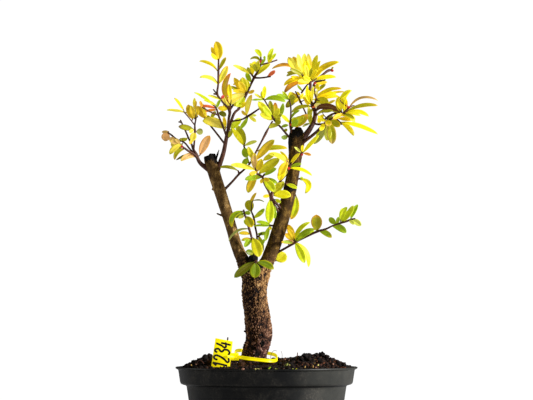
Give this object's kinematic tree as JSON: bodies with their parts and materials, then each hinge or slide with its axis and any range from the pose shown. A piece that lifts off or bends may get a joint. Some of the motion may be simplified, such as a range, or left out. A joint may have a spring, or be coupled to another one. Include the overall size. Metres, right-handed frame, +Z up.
{
  "type": "pomegranate bonsai in a pot",
  "caption": "Small potted tree: a forked, cut-back trunk with fine leafy shoots in a round tapered nursery pot of soil, with a plain yellow label tie round the trunk's foot.",
  "frame": {"origin": "centre of the pot's underside, on the plane it stands on", "axes": "+Z up along the pot's axis; +X to the right and +Y to the back, seen from the side that shows the fork of the trunk"},
  "size_m": [0.2157, 0.1822, 0.4686],
  "materials": {
    "pot": "matt black moulded plastic, dusty and scuffed",
    "soil": "moist peat and bark crumbs",
    "trunk": "rough flaky bark",
    "label_tie": "semi-gloss yellow nylon",
    "left_outer_shoot": "thin glossy leaves on brown twigs",
    "left_main_shoot": "thin glossy leaves on brown twigs",
    "left_mid_shoot": "thin glossy leaves on brown twigs",
    "head_left_twig": "thin glossy leaves on brown twigs",
    "head_upright_twig": "thin glossy leaves on brown twigs",
    "crown_leader": "thin glossy leaves on brown twigs",
    "right_spray": "thin glossy leaves on brown twigs",
    "inner_shoot": "thin glossy leaves on brown twigs",
    "limb_side_leaves": "thin glossy leaves on brown twigs",
    "limb_back_leaf": "thin glossy leaves on brown twigs",
    "limb_knot_leaf": "thin glossy leaves on brown twigs",
    "limb_inner_leaves": "thin glossy leaves on brown twigs",
    "foot_leaf": "thin glossy leaves on brown twigs",
    "fork_shoot": "thin glossy leaves on brown twigs",
    "fork_front_tuft": "thin glossy leaves on brown twigs",
    "right_lower_shoot": "thin glossy leaves on brown twigs"
  },
  "bodies": {
    "root": {"pot": "pot", "soil": "soil", "trunk": "trunk", "label_tie": "label_tie", "left_outer_shoot": "left_outer_shoot", "left_main_shoot": "left_main_shoot", "left_mid_shoot": "left_mid_shoot", "head_left_twig": "head_left_twig", "head_upright_twig": "head_upright_twig", "crown_leader": "crown_leader", "right_spray": "right_spray", "inner_shoot": "inner_shoot", "limb_side_leaves": "limb_side_leaves", "limb_back_leaf": "limb_back_leaf", "limb_knot_leaf": "limb_knot_leaf", "limb_inner_leaves": "limb_inner_leaves", "foot_leaf": "foot_leaf", "fork_shoot": "fork_shoot", "fork_front_tuft": "fork_front_tuft", "right_lower_shoot": "right_lower_shoot"}
  },
  "joints": []
}
